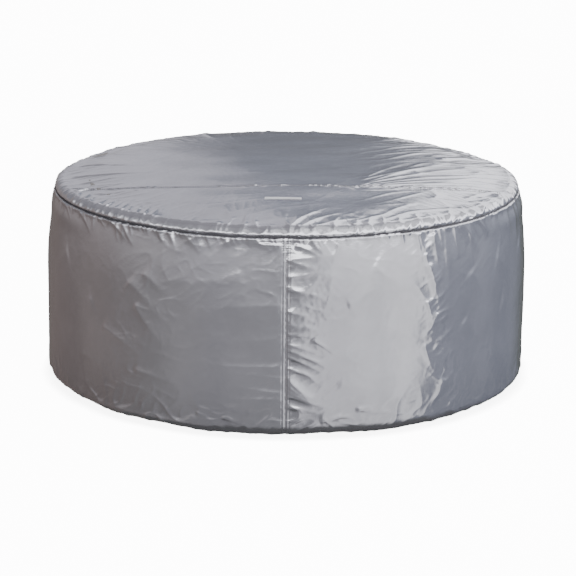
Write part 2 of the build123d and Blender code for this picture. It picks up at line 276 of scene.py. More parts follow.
def coated_cloth(name, colour, metal, rough, weave=420.0, spread=0.10):
    """Coated polyester: a slight ripstop grid, fine crinkle, cloudy tone, gloss and a painted shade that darkens it
    towards the ground.
    """
    material, n, shader, coords = new_material(name)
    parts = n.add("ShaderNodeSeparateXYZ", {0: coords}).outputs
    around = n.times(n.math("ARCTAN2", parts[0], parts[1]), 0.9)
    threads = [n.math("SINE", n.times(p, weave * 2)) for p in (around, parts[2])]
    grid = [n.math("POWER", n.math("ABSOLUTE", n.math("SINE", n.times(p, weave))), 14.0)
            for p in (around, parts[2])]
    cloud = n.noise(coords, 5.0, 4.0, 0.6)
    crinkle = n.noise(coords, 62.0, 5.0, 0.62)
    dark, light, painted_base_shade, fleck = shades(colour, 1 - spread, 1 + spread, 0.2, 0.6)
    tone = n.mix(n.span(cloud, 0.35, 0.65), dark, light)
    # painted shade: the colour is mixed towards a dark copy in the lowest 0.26 m, standing in for the ground's shade
    # and the floor's dark reflection
    shade_free_share = n.span(parts[2], 0.0, 0.26, 0.76, 1.0, soft=True)
    tone = n.mix(shade_free_share, painted_base_shade, tone)
    speck = n.noise(coords, 900.0, 2.0)
    tone = n.mix(n.span(speck, 0.3, 0.7, 0.0, 0.06), tone, fleck)
    cell = n.times(n.math("MAXIMUM", *grid), 0.6)
    fine = n.plus(n.times(n.plus(*threads), 0.12), cell)
    n.dress(shader, Base_Color=tone, Metallic=metal, Roughness=n.span(crinkle, 0.3, 0.7, rough - 0.03, rough + 0.05),
            Normal=n.bump(fine, 0.05, 0.0005, n.bump(crinkle, 0.10, 0.003)))
    return material


def plain(name, colour, rough, metal=0.0, grain=180.0, depth=0.0006, spread=0.12):
    """Moulded or sheet plastic with a slight grain and uneven gloss."""
    material, n, shader, coords = new_material(name)
    grainy = n.noise(coords, grain, 4.0, 0.6)
    cloud = n.noise(coords, 6.0, 3.0)
    tone = n.mix(n.span(cloud, 0.35, 0.65), *shades(colour, 1 - spread, 1 + spread))
    n.dress(shader, Base_Color=tone, Metallic=metal, Roughness=n.span(grainy, 0.3, 0.7, rough - 0.06, rough + 0.08),
            Normal=n.bump(grainy, 0.35, depth))
    return material


def webbing(name, colour):
    """Woven strap: ribs across it and a herringbone of threads."""
    material, n, shader, coords = new_material(name)
    ribs = n.add("ShaderNodeTexWave", {"Vector": coords, "Scale": 110.0, "Distortion": 1.5, "Detail": 2.0},
                 bands_direction="Z").outputs["Color"]
    cross = n.add("ShaderNodeTexWave", {"Vector": coords, "Scale": 150.0, "Distortion": 0.6},
                  bands_direction="DIAGONAL").outputs["Color"]
    fuzz = n.noise(coords, 700.0, 3.0)
    height = n.plus(n.times(ribs, 0.6), n.times(cross, 0.4))
    tone = n.mix(n.times(height, fuzz), *shades(colour, 1.0, 1.7))
    n.dress(shader, Base_Color=tone, Roughness=0.75, Sheen_Weight=0.3, Normal=n.bump(height, 0.6, 0.0007))
    return material


def laminate(name, colour, rough, mesh_size=260.0):
    """Reinforced vinyl sheet: the mesh inside it shows through as a faint diamond grid."""
    material, n, shader, coords = new_material(name)
    parts = n.add("ShaderNodeSeparateXYZ", {0: coords}).outputs
    around = n.times(n.math("ARCTAN2", parts[0], parts[1]), 0.85)
    radius = n.math("SQRT", n.plus(*(n.math("POWER", parts[i], 2.0) for i in (0, 1))))
    level = n.plus(parts[2], radius)
    one = n.math("SINE", n.times(n.plus(around, level), mesh_size))
    two = n.math("SINE", n.times(n.math("SUBTRACT", around, level), mesh_size))
    net = n.math("POWER", n.math("ABSOLUTE", n.times(one, two)), 0.6)
    cloud = n.noise(coords, 4.0, 4.0)
    dark, light = shades(colour, 0.86, 1.12)
    tone = n.mix(n.span(cloud, 0.35, 0.65), dark, light)
    grain = n.bump(n.noise(coords, 500.0, 3.0), 0.25, 0.0005)
    n.dress(shader, Base_Color=n.mix(n.times(net, 0.10), tone, dark),
            Roughness=n.span(cloud, 0.3, 0.7, rough - 0.05, rough + 0.08), Normal=n.bump(net, 0.22, 0.0007, grain))
    return material


def crinkled_foil(name, colour):
    """Silvered film with small flat facets."""
    material, n, shader, coords = new_material(name)
    cells = n.add("ShaderNodeTexVoronoi", {"Vector": coords, "Scale": 42.0}).outputs["Distance"]
    cloud = n.noise(coords, 30.0, 5.0, 0.7)
    n.dress(shader, Base_Color=n.mix(cloud, *shades(colour, 0.8, 1.0)), Metallic=0.9,
            Roughness=n.span(cloud, 0.3, 0.7, 0.22, 0.38), Normal=n.bump(n.plus(cells, cloud), 0.5, 0.004))
    return material


MATERIALS = {
    "ground_mat": webbing("felt_mat", (0.16, 0.17, 0.18)),
    "tub_pvc": laminate("tub_laminate", (0.30, 0.275, 0.25), 0.50),
    "tub_liner": laminate("liner_laminate", (0.70, 0.76, 0.80), 0.34, 320.0),
    "fittings": plain("fitting_plastic", (0.50, 0.51, 0.53), 0.42),
    "caps": plain("cap_plastic", (0.10, 0.11, 0.125), 0.45),
    "seals": plain("seal_rubber", (0.03, 0.03, 0.03), 0.55),
    "filter_paper": plain("filter_fibre", (0.84, 0.85, 0.83), 0.85, grain=700.0, depth=0.001),
    "buckles": plain("buckle_plastic", (0.035, 0.035, 0.04), 0.36),
    "webbing": webbing("black_webbing", (0.030, 0.030, 0.033)),
    "lid_vinyl": laminate("lid_laminate", (0.25, 0.235, 0.22), 0.46, 210.0),
    "lid_foil": crinkled_foil("lid_foil_film", (0.80, 0.81, 0.83)),
    "lid_trim": webbing("trim_tape", (0.05, 0.05, 0.055)),
    "zip_metal": plain("zip_nickel", (0.62, 0.62, 0.60), 0.25, metal=1.0),
    "cover_fabric": coated_cloth("cover_cloth", (0.72, 0.72, 0.75), 0.88, 0.155, spread=0.05),
    "cover_piping": coated_cloth("piping_cloth", (0.060, 0.058, 0.066), 0.10, 0.50),
    "seam_tape": coated_cloth("tape_cloth", (0.40, 0.40, 0.42), 0.45, 0.40),
    "label": plain("plain_strip", (0.90, 0.90, 0.92), 0.35, grain=500.0),
    "elastic": webbing("elastic_braid", (0.06, 0.06, 0.06)),
}
THREAD = plain("thread", (0.11, 0.11, 0.125), 0.55, grain=900.0)
for row in frame["record"]["subparts"]:
    if row["node"] in nodes:
        slots = nodes[row["node"]].data.materials
        slots.clear()
        slots.append(MATERIALS[row["material_slot"]])


# ------ side panels

def side_section():
    """Rows of (r, z, distance down from the edge seam, normal r, normal z) down to the hem's end."""
    spans = ((0, 0.045, 0.0018), (0.045, 0.66, 0.0034), (0.66, 0.745, 0.0026))
    steps = np.concatenate([np.arange(*span) for span in spans])
    top_angle = math.asin((SEAM_Z - BELLY_Z) / SIDE_ARC_R)
    arc, line = top_angle * SIDE_ARC_R, BELLY_Z - HEM_Z - HEM_R
    rows = []
    for s in steps:
        if s < arc:
            a = top_angle - s / SIDE_ARC_R
            nr, nz = math.cos(a), math.sin(a)
            r, z = BELLY_R - SIDE_ARC_R * (1 - nr), BELLY_Z + SIDE_ARC_R * nz
        elif s < arc + line:
            r, z, nr, nz = BELLY_R, BELLY_Z - (s - arc), 1.0, 0.0
        else:
            a = min((s - arc - line) / HEM_R, math.radians(88))
            nr, nz = math.cos(a), -math.sin(a)
            r, z = BELLY_R - HEM_R * (1 - nr), HEM_Z + HEM_R * (1 + nz)
        rows.append((r, z, s, nr, nz))
    return np.array(rows)


def side_columns():
    """Distances along the belly from one vertical seam to the other, finer next to the seams."""
    half = math.pi * BELLY_R
    steps = [0.0]
    while steps[-1] < half:
        gap = min(steps[-1], half - steps[-1])
        steps.append(steps[-1] + 0.0016 + 0.0024 * min(1, max(0, (gap - 0.03) / 0.05)))
    return np.array(steps) * (half / steps[-1])


# Folds of the side: degrees from the front seam and height above ground of the start, the same of the
# end, then width, rise and bend. Lengths are in millimetres.
SIDE_FOLDS = [
    (-58, 716, -52, 648, 7, 5, 10), (-46, 722, -39.5, 662, 7, 5.5, 8), (-41, 722, -37, 650, 8, 5, -6),
    (-50, 720, -47, 690, 5, 4, 2), (-66, 715, -62, 670, 6, 3.5, 4), (-24, 722, -19.5, 655, 12, 6, 4),
    (-20, 722, -24, 690, 6, 4, 2), (-31, 722, -28, 668, 8, 4, -4), (-12, 718, -16, 690, 9, 4.5, 4),
    (-9, 722, -3, 676, 10, 6, 6), (-1, 700, -12, 716, 7, 4, 3), (5.5, 722, 9.5, 662, 13, 6.5, -6),
    (2, 700, 8, 655, 9, 5.5, 6), (1, 655, 12, 668, 10, 4.5, -4), (31, 716, 31.8, 592, 10, 6.5, 4),
    (34, 600, 37.2, 345, 13, 5.5, 10), (33, 640, 36, 540, 9, 5, -6), (35.5, 705, 36.7, 600, 10, 6, 3),
    (39.4, 724, 39.8, 450, 15, 5, -4), (37.4, 724, 38.2, 640, 9, 5, 2), (42.3, 724, 43.0, 600, 12, 7.2, 1),
    (45.5, 724, 50, 600, 12, 7.8, 4), (47.4, 724, 48.5, 540, 13, 6.8, -4), (44.5, 724, 48.5, 655, 8, 6.2, 2),
    (53, 724, 54, 640, 12, 6, 1), (65, 724, 66.6, 560, 14, 6.2, 3), (59, 724, 61.5, 600, 12, 6.2, 2),
    (70, 724, 71.5, 580, 14, 6.2, 2), (33, 470, 34.5, 355, 10, 5, 8), (32.5, 310, 37, 165, 10, 4.5, -8),
    (38, 170, 34, 60, 10, 4.5, 4), (36, 420, 32, 330, 9, 4, 4), (0.3, 330, 11, 246, 12, 6.5, 4),
    (0.3, 305, 9, 236, 8, 5, 3), (0.3, 232, 8.5, 136, 12, 7, -16), (0.3, 205, 6, 150, 8, 5.5, -10),
    (0.3, 262, 7, 218, 8, 5, 3), (0.3, 160, 6.5, 118, 8, 5, 4), (0.3, 120, 8, 90, 7, 4, 3),
    (6, 365, 12.5, 286, 8, 4.5, 4), (0.3, 385, 8, 368, 9, 4.5, 4), (0.3, 470, 6, 452, 8, 4.5, -3),
    (0.3, 545, 9, 512, 10, 5, 4), (0.3, 590, 8, 610, 9, 4.5, -4), (-0.4, 268, -20, 262, 16, 3.4, 4),
    (-0.4, 224, -16, 236, 14, 3, -4), (-0.4, 170, -12, 192, 12, 3.2, 3), (-0.4, 146, -13, 138, 12, 3.2, -3),
    (-38, 520, -29, 400, 24, 4.2, 10), (-36, 440, -27, 300, 20, 4.2, -8), (-34, 560, -26, 480, 20, 3, 6),
    (-46, 330, -33, 250, 16, 4, 4), (-36, 200, -22, 165, 14, 3.6, 4), (-14, 70, -8, 40, 8, 4, 3),
    (-20, 80, -16, 50, 8, 3.5, 3), (8, 60, 16, 85, 10, 3, 3), (-55, 200, -42, 150, 16, 3, 10),
    (14, 480, 24, 560, 20, 2.5, 10), (52, 250, 60, 120, 18, 3, 10), (43.5, 724, 46.5, 640, 14, 7.8, 6),
    (48.5, 724, 51.5, 650, 14, 7.8, -4), (36.2, 724, 34.2, 640, 10, 6.2, 4), (50.5, 724, 55, 655, 10, 6.4, 4),
    (12, 200, 28, 120, 26, 3, 10), (20, 620, 30, 520, 26, 3, -10), (16, 100, 30, 50, 12, 3.8, 4),
    (22, 400, 31, 330, 26, 2.6, 8), (0.3, 420, 12, 380, 16, 4.6, 4), (0.3, 650, 7, 620, 10, 5, -3),
    (0.3, 350, 9, 300, 10, 5.6, 4), (0.3, 180, 11, 105, 12, 6.2, -6), (47, 540, 54, 380, 30, 3.4, 10),
    (58, 560, 68, 470, 30, 3.2, -10), (44, 360, 52, 240, 24, 3.2, 10), (60, 380, 74, 300, 30, 3.4, 12),
    (54, 200, 70, 150, 22, 3.4, 10), (72, 560, 80, 420, 30, 3.2, 10), (-62, 560, -74, 440, 30, 3.2, 10),
    (-50, 420, -64, 300, 26, 3, 12), (-10, 600, -26, 540, 22, 2.2, 10), (-0.4, 490, -22, 450, 22, 2.4, -8),
    (-0.4, 370, -20, 350, 20, 2.6, 6), (118, 705, 124, 600, 10, 5, 6), (138, 715, 135, 560, 10, 5, -6),
    (155, 700, 170, 590, 12, 5.5, 10), (-110, 712, -116, 620, 9, 5, 4), (-132, 718, -128, 580, 11, 5.5, 8),
    (-150, 710, -164, 600, 12, 5, -10), (-95, 400, -112, 300, 16, 3.5, 12), (100, 360, 112, 220, 16, 3.5, 10),
    (-140, 330, -158, 210, 16, 4, 12), (142, 300, 160, 190, 16, 4, -12),
]


def side_height(phi, z, down):
    """How far the side's cloth stands off its smooth shape. phi in degrees, right of the front seam."""
    u = np.radians(phi) * BELLY_R
    height = np.zeros_like(u)
    for start, start_z, end, end_z, *sizes in SIDE_FOLDS:
        a = (math.radians(start) * BELLY_R, start_z / 1000)
        b = (math.radians(end) * BELLY_R, end_z / 1000)
        width, rise, bend = (size / 1000 for size in sizes)
        fold(height, u, z, a, b, width, rise, bend=bend, fade=0.9, grow=1.3, skew=1.3)
    rng = np.random.default_rng(11)
    half = math.pi * BELLY_R
    spots = [(place, SEAM_Z - 0.004) for place in scattered(rng, -half + 0.02, half, (0.012, 0.036))]
    scatter_folds(height, u, z, 12, spots, (0.018, 0.062), 0.40, (0.0040, 0.0085), (0.0024, 0.0060))
    for index, (at, side) in enumerate([(0, 1), (0, -1), (half, -1), (-half, 1)]):
        spots = [(place, at) for place in scattered(rng, 0.05, 0.70, (0.014, 0.040))]
        turned = np.zeros_like(u)
        scatter_folds(turned, z, u, 20 + index, spots, (0.012, 0.045), 0.25 if side > 0 else -0.1,
                      (0.003, 0.0055), (0.0015, 0.0036), down=side < 0)
        height += turned
    broad = noise(u * 2.6, z * 3.1, 3) * 0.0060 + noise(u * 6.0 + 3, z * 5.0, 4) * 0.0026
    near_seam = np.where(u < 0, 0.30, 0.75) * np.exp(-np.abs(u) / 0.16) + np.exp(-(half - np.abs(u)) / 0.16)
    rough_left = bell(u + 0.53 - 0.5 * (z - 0.4), 0, 0.13)
    rough_right = bell(u - 0.575 + 0.15 * (z - 0.4), 0, 0.05)
    back = smooth(np.abs(phi), 80, 100)
    low = smooth(0.18 - z, 0, 0.12)
    where = 0.09 + 0.60 * near_seam + 0.22 * rough_left + 0.9 * rough_right + 0.12 * back + 0.65 * low
    where = np.clip(where, 0, 1)
    slanted = creases(u * 9 + z * 5, z * 11 - u * 4, 7) * 0.0030 + creases(u * 17 - z * 9, z * 19, 8) * 0.0016
    mottle = bell(u, 0.10, 0.09) * bell(z, 0.47, 0.13)
    lower_right = bell(u - 0.57 - 0.10 * smooth(0.35 - z, 0, 0.2), 0, 0.06) * smooth(0.45 - z, 0, 0.15)
    crumple = noise(u * 55, z * 55, 9) * (0.0011 * mottle + 0.0013 * lower_right)
    height += broad + slanted * where + crumple
    roll = 0.0030 * bell(down, 0.0090, 0.0060)
    scallop = np.clip(0.40 + 0.9 * ripple(u * 34, 14) + 0.9 * ripple(u * 15, 15), 0, 1.6)
    height += roll * scallop
    edge = smooth(down, 0.0, 0.008)
    hem_lip = 0.0045 * bell(z, 0.034, 0.010) * smooth(np.abs(phi + 35), 22, 8)
    hem_wave = ripple(u * 5.5, 16) * 0.006 * smooth(0.09 - z, 0, 0.07)
    bulge = 0.0060 * bell(z, 0.672, 0.034) * smooth(np.abs(phi), 45, 75) * smooth(np.abs(phi), 135, 105)
    height = soften(height, -0.0045, 0.0110) * edge + hem_lip + hem_wave + bulge
    to_seam = np.minimum(np.abs(u), half - np.abs(u))
    dimple = 0.65 + 0.35 * np.cos(z * 2 * math.pi / DIMPLE_STEP)
    for row in (0.0035, 0.0125):
        height -= np.where(u < 0, 0.0011, 0.0020) * bell(to_seam, row, 0.0022) * dimple
    reach = np.where(u < 0, 0.060, 0.020)
    return height * smooth(to_seam / reach, -0.2, 1.0) ** 0.5 - 0.0010 * bell(to_seam, 0, 0.004)


def side_panel(name, side, *replaced):
    """The right (side 1) or left (side -1) half of the cover's side, down to the hem's end."""
    section, along = side_section(), side_columns()
    phi = side * np.degrees(along / BELLY_R)
    if side < 0:
        phi = phi[::-1]
    rows = section[:, None, :]
    phis = np.broadcast_to(phi[None, :], (len(section), len(phi)))
    zs = np.broadcast_to(rows[..., 1], phis.shape)
    downs = np.broadcast_to(rows[..., 2], phis.shape)
    height = side_height(phis.copy(), zs.copy(), downs.copy())
    r = rows[..., 0] + rows[..., 3] * height
    z = rows[..., 1] + rows[..., 4] * height
    angle = np.radians(phis)
    points = np.stack([r * np.sin(angle), -r * np.cos(angle), np.maximum(z, 0.002)], axis=-1)
    return piece(grid_mesh(name, points), "cover", "cover_fabric", *replaced)


# ------ top panels

# Folds of the top: x and y of the start, x and y of the end, width, rise and bend, all in millimetres
TOP_FOLDS = [
    (-780, -330, -660, -250, 10, 5, 20), (-790, -280, -600, -240, 9, 3.5, 16),
    (-505, -790, -445, -700, 9, 6, 4), (-345, -885, -300, -800, 10, 6.5, -4),
    (-275, -890, -235, -805, 10, 6.5, -4), (-60, -885, 20, -885, 14, 3, 2), (10, -885, 160, -635, 12, 6, 20),
    (45, -885, 215, -690, 12, 5.8, 18), (90, -875, 260, -760, 12, 5, 10), (170, -865, 190, -740, 10, 5.5, 8),
    (240, -860, 243, -750, 11, 6, -6), (290, -840, 310, -720, 10, 5.5, 8), (340, -820, 330, -710, 10, 5, -6),
    (400, -790, 404, -690, 10, 5, 3), (470, -750, 460, -660, 9, 4.5, 3), (585, -660, 592, -540, 9, 4.5, 3),
    (650, -600, 630, -520, 9, 4.5, 3), (720, -500, 680, -440, 9, 5, 3), (770, -420, 700, -360, 10, 6, 6),
    (800, -360, 740, -260, 10, 6, -6), (285, -345, 760, 100, 12, 4.8, 20), (285, -335, 700, 200, 12, 4.2, 20),
    (300, -350, 800, 0, 12, 4.8, 14), (310, -355, 820, -80, 11, 4.5, 10), (340, -352, 830, -160, 11, 5.5, 6),
    (420, -345, 840, -220, 10, 5.5, 4), (285, -270, 600, 50, 12, 4.5, 12), (500, -330, 800, -270, 10, 5, -4),
    (300, -220, 480, 100, 12, 3.5, 10), (600, 200, 780, 300, 12, 3.5, 10), (-800, 100, -550, 20, 12, 4, 12),
    (-780, 300, -520, 220, 12, 3.5, 12), (-820, -80, -500, -100, 12, 4, 8), (100, 860, 160, 600, 12, 4.5, 10),
    (-350, 800, -280, 580, 12, 4.5, -10), (450, 750, 360, 550, 12, 4.5, 10), (-700, 520, -520, 400, 11, 4.5, 8),
    (740, 460, 560, 380, 11, 4.5, 8), (-80, 870, -120, 660, 11, 4, 6),
]


def cross_y(x):
    """Where the cross seam runs."""
    return CROSS_Y + CROSS_BOW * x ** 2


# The shoulder's centre (r, z), the angle where the dome takes over, and the length from seam to crown
SHOULDER_AT = (SEAM_R - SHOULDER_R, SEAM_Z + 0.0005)
DOME_MEETS = math.atan2(SHOULDER_AT[1] - CROWN_Z + DOME_R, SHOULDER_AT[0])
TOP_LENGTH = SHOULDER_R * DOME_MEETS + DOME_R * (math.pi / 2 - DOME_MEETS)


def top_section(s):
    """(r, z, normal r, normal z) at distance s from the edge seam, along the shoulder and dome."""
    bend = SHOULDER_R * DOME_MEETS
    on_arc = s < bend
    a = np.where(on_arc, s / SHOULDER_R, DOME_MEETS + (s - bend) / DOME_R)
    r = np.where(on_arc, SHOULDER_AT[0] + SHOULDER_R * np.cos(a), DOME_R * np.cos(np.minimum(a, math.pi / 2)))
    z = np.where(on_arc, SHOULDER_AT[1] + SHOULDER_R * np.sin(a), CROWN_Z - DOME_R + DOME_R * np.sin(a))
    return r, z, np.cos(a), np.sin(a)


def top_height(x, y, s):
    """How far the top's cloth stands off its smooth dome."""
    height = np.zeros_like(x)
    for row in TOP_FOLDS:
        x0, y0, x1, y1, width, rise, bend = (size / 1000 for size in row)
        fold(height, x, y, (x0, y0), (x1, y1), width, rise, bend=bend, fade=0.8, grow=1.4, skew=1.4)
    rng = np.random.default_rng(31)
    for place in np.arange(-0.81, -0.47, 0.030):
        rim = -math.sqrt((SEAM_R - 0.001) ** 2 - place ** 2)
        end = (place + rng.uniform(0.02, 0.07), rim + rng.uniform(0.09, 0.23))
        fold(height, x, y, (place, rim), end, rng.uniform(0.008, 0.014), rng.uniform(0.0050, 0.0080),
             bend=rng.uniform(-0.004, 0.010), fade=1.1, grow=1.3, skew=1.4)
    phi = np.arctan2(x, -y)
    u = phi * SEAM_R
    half = math.pi * SEAM_R
    spots = [(place, 0.002) for place in scattered(rng, -half + 0.02, half, (0.013, 0.038))]
    scatter_folds(height, u, s, 32, spots, (0.018, 0.066), 0.5, (0.0035, 0.0075), (0.0024, 0.0056), down=False)
    off = y - cross_y(x)
    for index, side in enumerate((1, -1)):
        places = scattered(rng, -0.84, 0.84, (0.016, 0.045),
                           lambda place: not -0.5 < place < 0.10 or rng.random() < 0.15)
        spots = [(place, 0.0) for place in places]
        scatter_folds(height, x, off, 40 + index, spots, (0.015, 0.050), 0.5, (0.004, 0.008), (0.0015, 0.0032),
                      down=side < 0)
    broad = noise(x * 2.2 + 5, y * 2.6, 33) * 0.0060 + noise(x * 5.0, y * 7.0, 34) * 0.0026
    right = smooth(x, 0.15, 0.65)
    left = smooth(-x, 0.55, 0.8)
    rim = np.exp(-s / 0.09)
    where = np.clip(0.10 + 0.75 * right + 0.4 * left + 0.5 * rim, 0, 1)
    long = creases(x * 4 + y * 3, y * 12 - x * 7, 35) * 0.0030
    radial = creases(phi * 16, s * 6, 36) * 0.0022 * np.exp(-s / 0.14)
    height += broad + long * where + radial
    roll = 0.0005 * bell(s, 0.010, 0.006)
    height += roll * np.clip(0.45 + 0.9 * ripple(u * 30, 37) + 0.9 * ripple(u * 13, 38), 0, 1.6)
    hip = 0.0060 * bell((x - 0.37) * 0.765 + (y + 0.61) * -0.644, 0, 0.10)
    hip *= bell((x - 0.37) * 0.644 + (y + 0.61) * 0.765, 0, 0.30)
    ridge = 0.0040 * bell(x + 0.16 + 0.25 * y, 0, 0.20) * smooth(-y, -0.4, 0.1)
    left_slack = -0.009 * smooth(-x, 0.15, 0.85) * smooth(-y, -0.35, 0.45)
    right_slack = -0.008 * smooth(x, 0.45, 0.85) * smooth(-y, -0.5, 0.4)
    side_sag = -0.009 * bell(s, 0.07, 0.06) * bell(np.abs(np.degrees(phi)), 118, 24)
    shape = (hip + ridge + left_slack + right_slack) * smooth(s, 0.0, 0.12) + side_sag
    height = soften(height, -0.0050, 0.0110) * smooth(s, 0.0, 0.008) + shape
    height -= 0.0006 * bell(off, 0, 0.0035) * (0.7 + 0.3 * np.cos(x * 2 * math.pi / DIMPLE_STEP))
    return height


def top_panel(name, front):
    """The part of the top before or behind the cross seam, as rings from the edge seam inwards."""
    columns = 1640
    phi = np.linspace(-math.pi, math.pi, columns, endpoint=False)
    reach = []
    for angle in phi:
        sx, sy = math.sin(angle), -math.cos(angle)
        limit = TOP_LENGTH
        if sy < 0.25:
            a, b, c = CROSS_BOW * sx * sx, -sy, CROSS_Y
            root = b * b - 4 * a * c
            r = c / (-b) if abs(a) < 1e-9 else (-b + math.sqrt(max(root, 0))) / (2 * a)
            if root >= 0 and 0 < r < SEAM_R - 0.001:
                fine = np.linspace(0, TOP_LENGTH, 4000)
                limit = float(np.interp(-r, -top_section(fine)[0], fine))
            else:
                limit = 0.0 if sy < 0 and abs(sx) < 0.98 and r >= SEAM_R else TOP_LENGTH
        reach.append(limit)
    reach = np.array(reach)
    crossing = (np.degrees(np.abs(phi)) < 73.5) & (reach < TOP_LENGTH - 1e-6)
    if front:
        phi, inner = phi[crossing], reach[crossing]
        t = np.concatenate([np.linspace(0, 0.12, 26)[:-1], np.linspace(0.12, 1, 150)])
        s = t[:, None] * inner[None, :]
    else:
        outer = np.where(crossing, reach, 0.0)
        t = np.concatenate([np.linspace(0, 0.08, 30)[:-1], np.linspace(0.08, 0.6, 110)[:-1],
                            np.linspace(0.6, 0.997, 40)])
        s = outer[None, :] + t[:, None] * (TOP_LENGTH - outer[None, :])
    r, z, nr, nz = top_section(s)
    sx, sy = np.sin(phi)[None, :], -np.cos(phi)[None, :]
    height = top_height(r * sx, r * sy, s)
    r2, z2 = r + nr * height, z + nz * height
    points = np.stack([r2 * sx, r2 * sy, z2], axis=-1)
    made = grid_mesh(name, points, wrap=not front)
    if not front:
        close_middle(made, len(phi))
    return made


def close_middle(made, columns):
    """Fills the small round hole left at the middle of a wrapped grid."""
    import bmesh
    mesh = bmesh.new()
    mesh.from_mesh(made.data)
    mesh.verts.ensure_lookup_table()
    ring = mesh.verts[-columns:]
    middle = mesh.verts.new(sum((v.co for v in ring), Vector()) / columns)
    for i in range(columns):
        mesh.faces.new((ring[i], ring[(i + 1) % columns], middle)).smooth = True
    mesh.to_mesh(made.data)
    mesh.free()


def tube_ring(name, radius, z, minor, wobble, seed, columns=1400, sides=10):
    """A round cord bent into a hoop, with slight waviness."""
    phi = np.linspace(-math.pi, math.pi, columns, endpoint=False)
    a = np.linspace(0, 2 * math.pi, sides, endpoint=False)
    u = phi * radius
    out = wobble * (ripple(u * 9, seed) + 0.5 * ripple(u * 24, seed + 1))
    up = wobble * (ripple(u * 7, seed + 2) + 0.5 * ripple(u * 21, seed + 3))
    pull = 1 + 0.16 * ripple(u * 60, seed + 4)
    r = radius + out[None, :] + (minor * pull)[None, :] * np.cos(a)[:, None]
    h = z + up[None, :] + (minor * pull)[None, :] * np.sin(a)[:, None]
    points = np.stack([r * np.sin(phi)[None, :], -r * np.cos(phi)[None, :], h], axis=-1)
    points = np.concatenate([points, points[:1]], axis=0)
    return grid_mesh(name, points, wrap=True)


side_right = side_panel("cover_side_right_cloth", 1, "cover_side_right", "cover_hem")
side_left = side_panel("cover_side_left_cloth", -1, "cover_side_left", "cover_hem")
top_front = piece(top_panel("cover_top_front_cloth", True), "cover", "cover_fabric", "cover_top_front")
top_rear = piece(top_panel("cover_top_rear_cloth", False), "cover", "cover_fabric", "cover_top_rear")
piece(tube_ring("cover_piping_cord", SEAM_R + 0.0018, SEAM_Z, 0.0021, 0.0010, 60),
      "cover", "cover_piping", "cover_edge_piping")


# ------ stitches, tapes, strip and hem cord

def join_boxes(name, places, size, slot, body, material=None):
    """Many small rounded sticks in one mesh: each place is a centre, a direction and an outward normal."""
    bevel, tip = 0.35, 0.4
    ring = [(1, 0), (0.7, 0.7), (0, 1), (-0.7, 0.7)]
    ring += [(-a, -b) for a, b in ring]
    verts, faces = [], []
    for centre, along, out in places:
        side = np.cross(along, out)
        first = len(verts)
        for end, shrink in ((-1, tip), (-1 + bevel, 1), (1 - bevel, 1), (1, tip)):
            for a, b in ring:
                spread = (side * a + out * b) * (size[1] * shrink / 2)
                verts.append(centre + along * (end * size[0] / 2) + spread)
        for k in range(3):
            for i in range(8):
                a, b = first + 8 * k + i, first + 8 * k + (i + 1) % 8
                faces.append((a, b, b + 8, a + 8))
        faces.append(tuple(first + i for i in range(7, -1, -1)))
        faces.append(tuple(first + 24 + i for i in range(8)))
    mesh = bpy.data.meshes.new(name)
    mesh.from_pydata([tuple(v) for v in verts], [], faces)
    mesh.polygons.foreach_set("use_smooth", np.ones(len(mesh.polygons), bool))
    return piece(add_object(name, mesh), body, slot, material=material)


def side_points(phi, downs):
    """Points on the wrinkled side at one angle, in degrees right of the front, and their outward directions."""
    section = side_section()
    r, z, nr, nz = [np.interp(downs, section[:, 2], section[:, i]) for i in (0, 1, 3, 4)]
    h = side_height(phi + 0 * downs, z, downs)
    a = math.radians(phi)
    out = np.stack([nr * math.sin(a), -nr * math.cos(a), nz], axis=-1)
    return np.stack([r * math.sin(a), -r * math.cos(a), z], axis=-1) + out * h[:, None], out


def top_points(x, y):
    """Points on the wrinkled top and their outward directions."""
    fine = np.linspace(0, TOP_LENGTH, 3000)
    r = np.hypot(x, y)
    s = np.interp(-r, -top_section(fine)[0], fine)
    _, z, nr, nz = top_section(s)
    h = top_height(x, y, s)
    out = np.stack([nr * x / r, nr * y / r, nz], axis=-1)
    return np.stack([x, y, z], axis=-1) + out * h[..., None], out


def between(points, out, lift):
    """Stitch places between neighbouring points: centre, direction, outward."""
    along = np.diff(points, axis=0)
    along /= np.linalg.norm(along, axis=1)[:, None]
    middle = (points[1:] + points[:-1]) / 2 + out[1:] * lift
    return list(zip(middle, along, out[1:]))


def stitches():
    """Two rows of thread along each side seam and along the cross seam."""
    rows = []
    for seam in (0.0, 180.0):
        for offset in (-STITCH_ROW, STITCH_ROW):
            phi = (seam + math.degrees(offset / BELLY_R) + 180) % 360 - 180
            rows += between(*side_points(phi, np.arange(0.008, 0.715, STITCH_STEP)), 0.0004)
    join_boxes("cover_side_stitches", rows, (0.0058, 0.0020), "cover_piping", "cover", THREAD)
    rows = []
    for offset in (-STITCH_ROW, STITCH_ROW):
        xs = np.arange(-0.80, 0.80, STITCH_STEP)
        rows += between(*top_points(xs, cross_y(xs) + offset), 0.0003)
    join_boxes("cover_cross_stitches", rows, (0.0056, 0.0015), "cover_piping", "cover", THREAD)


